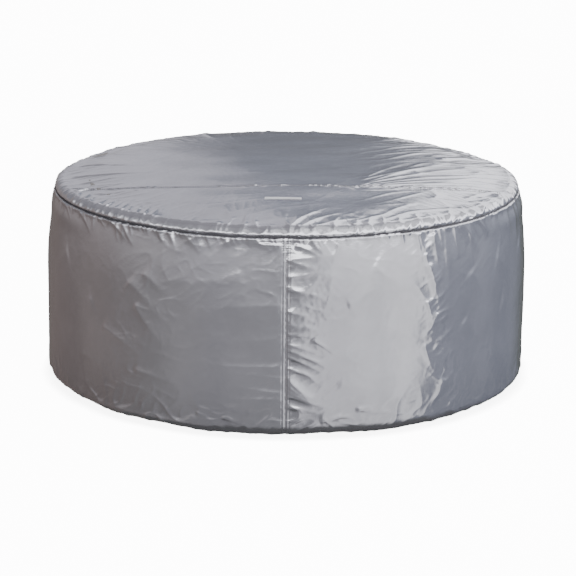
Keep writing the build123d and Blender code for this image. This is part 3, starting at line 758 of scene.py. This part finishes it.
def ribbon(name, centre, out, width, thick, slot, body, *replaced, taper=0.0):
    """A flat strap with rounded edges along a line of points, each with its outward direction."""
    centre, out = np.array(centre), np.array(out)
    along = np.gradient(centre, axis=0)
    along /= np.linalg.norm(along, axis=1)[:, None]
    across = np.cross(along, out)
    count = len(centre)
    ends = np.minimum(np.arange(count), np.arange(count)[::-1])
    wide = width / 2 * (1 - taper * np.exp(-ends / 1.2))
    section = [(-1, 0), (-0.97, 0.42), (-0.9, 0.5), (-0.45, 0.5),
               (0, 0.5), (0.45, 0.5), (0.9, 0.5), (0.97, 0.42)]
    section += [(-a, -b) for a, b in section]
    rows = [centre + across * (wide * a)[:, None] + out * (thick * b) for a, b in section]
    points = np.stack(rows + rows[:1], axis=0).transpose(1, 0, 2)
    first, last = (end.mean(axis=1, keepdims=True) + 0 * end for end in (points[:1], points[-1:]))
    made = grid_mesh(name, np.concatenate([first, points, last], axis=0))
    return piece(made, body, slot, *replaced)


def merge(name, parts, slot, body, *replaced):
    """Several pieces as one mesh."""
    bpy.ops.object.select_all(action="DESELECT")
    for part in parts:
        part.parent = None
        part.select_set(True)
    bpy.context.view_layer.objects.active = parts[0]
    bpy.ops.object.join()
    parts[0].name = name
    return piece(parts[0], body, slot, *replaced)


def tapes():
    """The tapes under the side seams and the cross seam."""
    for name, seam in (("front", 0.0), ("back", math.pi)):
        r, z, down, nr, nz = (column[side_section()[::6, 1] > 0.052] for column in side_section()[::6].T)
        out = np.stack([nr * math.sin(seam), -nr * math.cos(seam), nz], axis=1)
        line = np.stack([r * math.sin(seam), -r * math.cos(seam), z], axis=1)
        line = line - out * (0.0062 + 0.0006 * noise(down * 30, down, 71))[:, None]
        ribbon(f"cover_seam_tape_{name}", line, out, TAPE_WIDTH, TAPE_THICK, "seam_tape", "cover",
               "cover_side_seam_tapes")
    xs = np.linspace(-0.80, 0.80, 160)
    points, out = top_points(xs, cross_y(xs))
    ribbon("cover_cross_tape", points - out * 0.0036, out, TAPE_WIDTH, TAPE_THICK, "seam_tape", "cover",
           "cover_cross_seam_tape")


def thicken(made, thickness, offset):
    """Gives a sheet its thickness: outwards with offset 1, to both sides with 0."""
    thick = made.modifiers.new("thickness", "SOLIDIFY")
    thick.thickness = thickness
    thick.offset = offset


def label_strip():
    """The strip on the front top panel, with nothing printed on it."""
    xs, ys = np.meshgrid(np.linspace(-0.080, 0.054, 56), np.linspace(-0.559, -0.535, 14))
    points, out = top_points(xs, ys)
    made = grid_mesh("cover_plain_strip", points + out * 0.0009)
    thicken(made, 0.0006, 1)
    return piece(made, "cover", "label", "cover_label")


stitches()
tapes()
strip = label_strip()
piece(tube_ring("cover_hem_gathers", 0.8687, 0.0132, 0.0062, 0.0016, 80, columns=1800),
      "cover", "cover_fabric", "cover_hem_casing")


# ------ the inflated tub

def rounded_path(*parts, step=0.006):
    """Rows of (r, z) along lines and arcs: ("line", a, b) or ("arc", centre, radius, from, to)."""
    rows = []
    for part in parts:
        if part[0] == "line":
            (r0, z0), (r1, z1) = part[1:]
            t = np.linspace(0, 1, max(2, int(math.hypot(r1 - r0, z1 - z0) / step)))
            rows.append(np.stack([r0 + (r1 - r0) * t, z0 + (z1 - z0) * t], axis=1))
        else:
            (cr, cz), radius, start, end = part[1:]
            count = max(3, int(abs(math.radians(end - start)) * radius / (step * 0.7)))
            a = np.radians(np.linspace(start, end, count))
            rows.append(np.stack([cr + radius * np.cos(a), cz + radius * np.sin(a)], axis=1))
    path = np.concatenate(rows)
    keep = np.concatenate([[True], np.linalg.norm(np.diff(path, axis=0), axis=1) > 1e-5])
    return path[keep]


def lathed(name, path, height, body, slot, *replaced, columns=720, flip=False, holes=()):
    """A turned sheet whose cloth stands off by height(angle, along, z), with round holes cut in it."""
    tangent = np.gradient(path, axis=0)
    tangent /= np.linalg.norm(tangent, axis=1)[:, None] + 1e-12
    normal = np.stack([-tangent[:, 1], tangent[:, 0]], axis=1) * (-1 if flip else 1)
    along = np.concatenate([[0], np.cumsum(np.linalg.norm(np.diff(path, axis=0), axis=1))])
    angle = np.linspace(-math.pi, math.pi, columns, endpoint=False)
    grid_a, grid_s = np.meshgrid(angle, along)
    grid_z = np.broadcast_to(path[:, 1:2], grid_a.shape)
    h = height(grid_a, grid_s, grid_z)
    r = np.maximum(path[:, :1] + normal[:, :1] * h, 0.0005)
    z = path[:, 1:2] + normal[:, 1:2] * h
    points = np.stack([r * np.cos(grid_a), r * np.sin(grid_a), z], axis=-1)
    made = grid_mesh(name, points, wrap=True)
    if holes:
        cut_holes(made, holes)
    return piece(made, body, slot, *replaced)


def cut_holes(made, holes):
    """Takes out the faces within each (azimuth in degrees, height, radius) of a wall."""
    import bmesh
    mesh = bmesh.new()
    mesh.from_mesh(made.data)
    gone = set()
    for azimuth, level, radius in holes:
        a = math.radians(azimuth)
        for f in mesh.faces:
            c = f.calc_center_median()
            if c.x * math.cos(a) + c.y * math.sin(a) > 0.3:
                side = -c.x * math.sin(a) + c.y * math.cos(a)
                if math.hypot(side, c.z - level) < radius:
                    gone.add(f)
    bmesh.ops.delete(mesh, geom=list(gone), context="FACES")
    mesh.to_mesh(made.data)
    mesh.free()


BAFFLE_COUNT = 20
# (azimuth in degrees, height, radius) of the openings through the wall, and of the valve's in its outer skin
VALVE = (70, 0.42, 0.0185)
PORTS = [(84, 0.25, 0.036), (96, 0.25, 0.036), (90, 0.42, 0.026), (108, 0.14, 0.024)]


def to_baffle(angle):
    """Distance in radians to the nearest inner web of the inflated wall."""
    step = 2 * math.pi / BAFFLE_COUNT
    return np.abs((angle / step) % 1 - 0.5) * step


def wall_pull(depth, radius, seed):
    """A height rule: the wall is drawn in at each web, with puckers beside it."""
    def height(angle, along, z):
        near = to_baffle(angle) * radius
        reach = smooth(z, 0.06, 0.13) * smooth(0.64 - z, 0, 0.08)
        puck = creases(angle * 30, z * 7, seed) * 0.0018 * np.exp(-near / 0.04)
        return -reach * (depth * np.exp(-near / 0.020) - puck) - 0.0008 * noise(angle * 9, z * 6, seed + 1) ** 2
    return height


def build_tub():
    outer = rounded_path(("arc", (.800, .600), .090, 90, 0), ("line", (.890, .600), (.890, .095)),
                         ("arc", (.800, .095), .090, 0, -90))
    lathed("tub_outer_skin", outer, wall_pull(0.0045, 0.89, 90), "tub", "tub_pvc", "tub_outer_wall",
           columns=1200, holes=PORTS + [VALVE])
    inner = rounded_path(("line", (.700, .009), (.700, .640)), ("arc", (.750, .640), .050, 180, 90))
    lathed("tub_water_skin", inner, wall_pull(0.0060, 0.70, 94), "tub", "tub_liner", "tub_inner_wall",
           columns=1100, holes=PORTS)

    def deck_height(angle, along, z):
        pull = 0.0022 * np.exp(-to_baffle(angle) * 0.78 / 0.016)
        inside = smooth(along, 0, 0.01) * smooth(0.05 - along, 0, 0.01)
        return -(pull + 0.0005 * noise(angle * 40, along * 20, 97) ** 2) * inside

    deck = rounded_path(("line", (.750, .690), (.800, .690)), step=0.003)
    lathed("tub_deck_skin", deck, deck_height, "tub", "tub_pvc", "tub_top_deck", columns=1100)
    for name, radius, low, high, slot, node, seed in (
            ("tub_floor_sheet", .6985, .0056, .0075, "tub_liner", "tub_floor_liner", 101),
            ("tub_base_cloth", .8000, .0030, .0050, "tub_pvc", "tub_base_sheet", 103),
            ("ground_mat_cloth", .8400, .0002, .0030, "ground_mat", "ground_mat", 105)):
        middle = (low + high) / 2
        path = rounded_path(("line", (.0006, high), (radius - .001, high)),
                            ("line", (radius, middle), (radius, middle - .0002)),
                            ("line", (radius - .001, low), (.0006, low)), step=0.012)

        def height(angle, along, z, seed=seed, radius=radius):
            wave = noise(np.cos(angle) * along * 9, np.sin(angle) * along * 9, seed)
            return 0.0004 * wave * (along < radius)
        lathed(name, path, height, "tub", slot, node, columns=360)

    def ring_height(angle, along, z):
        return 0.0007 * np.abs(np.sin(angle * 36)) + 0.0006 * noise(angle * 60, along * 40, 107)

    channel = rounded_path(("line", (.6990, .0085), (.6680, .0085)), ("arc", (.6990, .0085), .0310, 180, 90),
                           step=0.003)
    lathed("bubble_channel", channel, ring_height, "tub", "tub_liner", "bubble_ring", flip=True)


def build_webs():
    """The welded webs inside the wall, each slightly bowed by the air beside it."""
    parts = []
    for index in range(BAFFLE_COUNT):
        a = math.radians(360 / BAFFLE_COUNT * (index + 0.5))
        rs, zs = np.meshgrid(np.linspace(.705, .884, 14), np.linspace(.097, .598, 34))
        bow = 0.004 * np.sin((rs - .705) / .179 * math.pi) * np.sin((zs - .097) / .501 * math.pi)
        bow = bow * (1 if index % 2 else -1) + 0.002 * noise(rs * 30 + index, zs * 14, 111)
        x, y = rs * math.cos(a) - bow * math.sin(a), rs * math.sin(a) + bow * math.cos(a)
        web = grid_mesh("web", np.stack([x, y, zs], axis=-1))
        thicken(web, 0.0015, 0)
        parts.append(web)
    merge("tub_wall_webs", parts, "tub_liner", "tub", "wall_baffles")


BUCKLES = (0, 60, 120, 180, 240, 300)
HANDLES = (30, 150, 210, 330)
WALL_R = 0.8914


def build_straps():
    """Straps and handles at their azimuths in degrees, with the patches that hold them."""
    def upright(azimuth, radius, low, high, width, thick):
        a = math.radians(azimuth)
        t = np.linspace(0, 1, 18)
        out = np.tile([math.cos(a), math.sin(a), 0], (18, 1))
        line = out * radius + np.outer(low + (high - low) * t, [0, 0, 1])
        return ribbon("strap", line, out, width, thick, "webbing", "tub", taper=0.05)

    def around(azimuth, span, radius, level, width, thick, lift=0.0):
        t = np.linspace(0, 1, 40)
        a = np.radians(azimuth - span / 2 + span * t)
        r = radius + lift * smooth(t, 0.3, 0.5) * smooth(1 - t, 0.3, 0.5)
        out = np.stack([np.cos(a), np.sin(a), 0 * a], axis=1)
        line = np.stack([r * np.cos(a), r * np.sin(a), level + 0 * a], axis=1)
        return ribbon("band", line, out, width, thick, "webbing", "tub", taper=0.25)

    spots = [a + side * 4.75 for a in HANDLES for side in (-1, 1)]
    merge("tub_strap_webbing", [upright(a, .8973, .380, .436, .030, .0018) for a in BUCKLES],
          "webbing", "tub", "tub_straps")
    merge("lid_strap_webbing", [upright(a, .8973, .503, .590, .030, .0018) for a in BUCKLES],
          "webbing", "lid", "lid_straps")
    merge("strap_weld_patches", [around(a, 4.0, WALL_R, .3825, .065, .0018) for a in BUCKLES],
          "tub_pvc", "tub", "strap_patches")
    merge("handle_webbing", [around(a, 14.0, .8942, .330, .035, .0022, .006) for a in HANDLES],
          "webbing", "tub", "carry_handles")
    merge("handle_weld_patches", [around(a, 4.5, WALL_R, .330, .060, .0018) for a in spots],
          "tub_pvc", "tub", "handle_patches")


# ------ the lid

LID_R, LID_RISE, RING_STEP = 0.857, 0.044, 0.19
ZIP_Z = 0.712


def build_lid():
    dome_r = (LID_R ** 2 + LID_RISE ** 2) / (2 * LID_RISE)
    edge = math.degrees(math.acos(LID_R / dome_r))

    def flat(angle, along, scale):
        return np.cos(angle) * along * scale, np.sin(angle) * along * scale

    def skin_height(angle, along, z):
        rings = -0.0022 * bell((along + RING_STEP / 2) % RING_STEP, RING_STEP / 2, 0.01)
        crease = creases(angle * 14, along * 7, 121) * 0.0016 * smooth(along, 0.45, 0.8)
        wave = noise(*flat(angle, along, 5), 123) * 0.0018
        return (rings + crease + wave - 0.0014) * smooth(LID_R - along, 0, 0.02)

    top = rounded_path(("arc", (0, .796 - dome_r), dome_r, 89.999, edge), step=0.007)
    lathed("lid_top_cloth", top, skin_height, "lid", "lid_vinyl", "lid_top_skin", columns=960, flip=True)

    def band_height(angle, along, z):
        return -0.0012 * np.abs(noise(angle * 26, z * 18, 125)) * smooth(along, 0, 0.01)

    band = rounded_path(("line", (.862, .747), (.862, .676)), step=0.004)
    lathed("lid_side_cloth", band, band_height, "lid", "lid_vinyl", "lid_side_band", columns=960)

    def skirt_height(angle, along, z):
        flutes = 0.0012 * np.sin(angle * 48 + 2 * noise(angle * 6, 0 * z + .4, 127))
        return (flutes + 0.0015 * noise(angle * 22, z * 9, 128)) * smooth(along, 0.0, 0.11) - 0.0006

    skirt = rounded_path(("line", (.8628, .6815), (.8642, .6714)), ("arc", (.800, .600), .096, 48, 0),
                         ("line", (.896, .600), (.896, .560)), step=0.004)
    lathed("lid_skirt_cloth", skirt, skirt_height, "lid", "lid_vinyl", "lid_skirt", columns=1100)

    def foil_height(angle, along, z):
        crumple = creases(*flat(angle, along, 9), 131) + noise(*flat(angle, along, 14), 132)
        return 0.0007 * crumple * smooth(LID_R - along, 0, 0.02)

    under = rounded_path(("line", (.0006, .6925), (LID_R, .6925)), step=0.010)
    lathed("lid_foil_sheet", under, foil_height, "lid", "lid_foil", "lid_bottom_foil")

    def chamber_height(angle, along, z):
        return -0.0010 * np.abs(noise(*flat(angle, along, 12), 133)) - 0.0002

    chamber = rounded_path(("line", (.0006, .6970), (.846, .6970)), ("arc", (.846, .7000), .003, -90, 0),
                           ("line", (.849, .7000), (.849, .7440)), ("arc", (.846, .7440), .003, 0, 90),
                           ("arc", (0, .789 - dome_r), dome_r, edge + 0.9, 89.999), step=0.009)
    lathed("lid_air_chamber", chamber, chamber_height, "lid", "tub_liner", "lid_bladder", columns=480)
    piece(tube_ring("lid_piping_cord", .8615, .7508, .0029, 0.0006, 135, columns=960),
          "lid", "lid_trim", "lid_edge_piping")


def build_zip():
    """Tape and teeth of the zip on the lid's side, where the insulation slides in."""
    a = np.radians(np.linspace(60, 120, 90))
    out = np.stack([np.cos(a), np.sin(a), 0 * a], axis=1)
    line = out * 0.8630 + np.array([0, 0, ZIP_Z]) + np.stack([0 * a, 0 * a, 0.0003 * np.sin(a * 90)], axis=1)
    ribbon("lid_zip_cloth", line, out, 0.0140, 0.0010, "lid_trim", "lid", "lid_zip_tape")
    teeth, up = [], np.array([0, 0, 1.0])
    for index, angle in enumerate(np.radians(np.arange(60.6, 119.6, 0.19))):
        outward = np.array([math.cos(angle), math.sin(angle), 0])
        stagger = 0.0007 if index % 2 else -0.0007
        teeth.append((outward * 0.8638 + up * (ZIP_Z + stagger), up, outward))
    join_boxes("lid_zip_teeth", teeth, (0.0036, 0.0013), "zip_metal", "lid")


build_tub()
build_webs()
build_straps()
build_lid()
build_zip()


# ------ stage, light and camera

BACKDROP = 13.0
# The camera, in millimetres, metres and degrees
LENS, SENSOR = 148.0, 36.0
CAMERA_AT, CAMERA_AIM, CAMERA_ROLL = (0, -8.905, 2.681), (0.008, 0, 0.310), 0.43


def world():
    """A sky whose zones give the coated cloth its tones. The camera sees it as plain white."""
    made = bpy.data.worlds.new("studio")
    bpy.context.scene.world = made
    made.use_nodes = True
    made.node_tree.nodes.clear()
    n = Nodes(made.node_tree)
    way = n.add("ShaderNodeSeparateXYZ", {0: n.add("ShaderNodeTexCoord").outputs["Generated"]}).outputs
    turn = n.math("DEGREES", n.math("ARCTAN2", way[0], n.times(way[1], -1.0)))
    lift = n.math("DEGREES", n.math("ARCSINE", way[2]))
    place = n.span(turn, -180, 180)

    def around(stops):
        """A colour by compass angle: each stop is an angle from the camera's side and its colour."""
        return n.ramp(place, [((angle + 180) / 360, colour) for angle, *colour in stops])

    # the sky's bands from below upwards, then two zones behind and above
    low = around([
        (-180, .14, .14, .13), (-150, .18, .145, .135), (-122, .155, .125, .118), (-104, .195, .16, .15),
        (-86, .16, .135, .13), (-66, .19, .18, .183), (-50, .25, .24, .25), (-34, .225, .22, .24), (-18, .265, .26, .28),
        (2, .25, .25, .27), (9, .38, .38, .41), (17, .84, .83, .88), (22, .95, .94, .99),
        (28, .82, .82, .86), (36, 1.0, 1.0, 1.04), (46, .86, .86, .90), (56, 1.15, 1.15, 1.19), (62, 1.1, 1.1, 1.14),
        (70, .21, .225, .285), (84, .255, .27, .335), (96, .195, .21, .265), (108, .25, .265, .325),
        (122, .18, .195, .25), (140, .215, .23, .285), (160, .09, .10, .09), (180, .12, .13, .12)])
    horizon = around([
        (-180, .18, .18, .18), (-150, .30, .26, .25), (-100, .32, .28, .28), (-66, .38, .36, .37),
        (-40, .44, .43, .46), (2, .42, .42, .45), (9, .55, .55, .59), (19, 1.1, 1.1, 1.15),
        (62, 1.25, 1.25, 1.3), (70, .40, .42, .50), (140, .34, .37, .45), (160, .18, .19, .19),
        (180, .18, .18, .18)])
    strip = around([
        (-180, .7, .7, .8), (-168, .25, .25, .28), (-110, .22, .22, .25), (-75, 1.1, 1.1, 1.15),
        (0, 3.4, 3.4, 3.5), (70, 3.2, 3.2, 3.4), (150, 2.4, 2.4, 2.5), (180, 1.8, 1.8, 1.9)])
    back = n.ramp(n.span(lift, 0, 60), [
        (0.0, (.14, .145, .17)), (0.10, (.18, .19, .225)), (0.25, (.22, .24, .295)), (0.38, (.25, .27, .34)),
        (0.43, (.31, .32, .39)), (0.49, (.54, .54, .62)), (0.60, (.70, .70, .78)), (1.0, (.5, .5, .55))])
    step = n.span(lift, 18, 26, 0.0, 4.0)
    left = n.span(n.plus(n.plus(turn, 180.0), step), 1.6, 5.2, soft=True)
    left = n.times(n.span(turn, -89, -90), left)
    back = n.mix(left, back, (.65, .64, .71, 1))
    shade = n.times(n.span(n.plus(turn, 180.0), 4.2, 7.5), n.span(lift, 20, 23.5))
    shade = n.times(shade, n.span(turn, -89, -90))
    back = n.mix(shade, back, (.29, .28, .31, 1))
    off_back = n.math("ABSOLUTE", n.math("SUBTRACT", n.math("ABSOLUTE", turn), 180.0))
    low = n.mix(n.span(lift, -28, -55, soft=True), low, (.09, .09, .095, 1))
    tone = n.mix(n.span(lift, -12, 4, soft=True), low, horizon)
    tone = n.mix(n.span(lift, 8, 17, soft=True), tone, strip)
    overhead = around([
        (-180, .50, .50, .55), (-165, .30, .30, .33), (-110, .26, .25, .28), (-40, .36, .36, .39),
        (5, .46, .46, .50), (18, .95, .95, 1.0), (95, .95, .95, 1.0), (135, .50, .50, .54),
        (180, .50, .50, .55)])
    tone = n.mix(n.span(lift, 24, 42, soft=True), tone, overhead)
    tone = n.mix(n.times(n.span(off_back, 30, 6, soft=True), n.span(lift, -4, 2)), tone, back)
    behind = n.span(turn, 90, 91)
    off = n.math("SUBTRACT", 180.0, turn)
    slant = n.plus(off, n.span(lift, 18, 21.5, 0.0, -2.6))
    slant = n.plus(slant, n.span(lift, 23.5, 27, 0.0, 6.0))
    bright = n.times(behind, n.span(slant, 3.4, 8.0, soft=True))
    for value, outside, inside in ((lift, 4, 9), (lift, 60, 45), (off, 60, 40)):
        bright = n.times(bright, n.span(value, outside, inside))
    tone = n.mix(bright, tone, (1.9, 1.9, 2.0, 1))
    seen = n.add("ShaderNodeLightPath").outputs["Is Camera Ray"]
    tone = n.mix(seen, tone, (BACKDROP, BACKDROP, BACKDROP, 1))
    sky = n.add("ShaderNodeBackground", {"Color": tone, "Strength": 1.0})
    out = n.add("ShaderNodeOutputWorld")
    made.node_tree.links.new(sky.outputs[0], out.inputs["Surface"])


def floor():
    """A pale ground that only the camera sees, with a faint contact shade."""
    bpy.ops.mesh.primitive_plane_add(size=60, location=(0, 0, -0.0005))
    made = bpy.context.object
    made.name = "floor"
    made.visible_glossy = False
    made.visible_diffuse = False
    material, n, shader, coords = new_material("pale_floor")
    tone = n.mix(n.noise(coords, 3.0), (0.80, 0.80, 0.80, 1), (0.83, 0.83, 0.83, 1))
    open_air = n.add("ShaderNodeAmbientOcclusion", {"Distance": 0.05}, samples=8).outputs["AO"]
    n.dress(shader, Base_Color=tone, Roughness=0.9, Specular_IOR_Level=0.1, Emission_Color=(1, 1, 1, 1),
            Emission_Strength=n.span(open_air, 0.45, 1.0, 7.0, 12.5))
    made.data.materials.append(material)


def face(made, place, target):
    """Puts a lamp or camera at a place and points it at its target."""
    made.location = place
    made.rotation_euler = (Vector(target) - made.location).to_track_quat("-Z", "Y").to_euler()


def area_light(name, place, target, size, power):
    """A round white lamp that faces its target."""
    light = bpy.data.lights.new(name, "AREA")
    light.shape = "DISK"
    light.size = size
    light.energy = power
    face(add_object(name, light), place, target)


def camera():
    data = bpy.data.cameras.new("camera")
    data.lens = LENS
    data.sensor_width = SENSOR
    data.clip_end = 100
    made = add_object("camera", data)
    face(made, CAMERA_AT, CAMERA_AIM)
    made.rotation_euler.rotate_axis("Z", math.radians(CAMERA_ROLL))
    bpy.context.scene.camera = made


world()
floor()
area_light("fill", (1.5, -6.0, 7.0), (0, 0, 0.4), 7.0, 60)
camera()
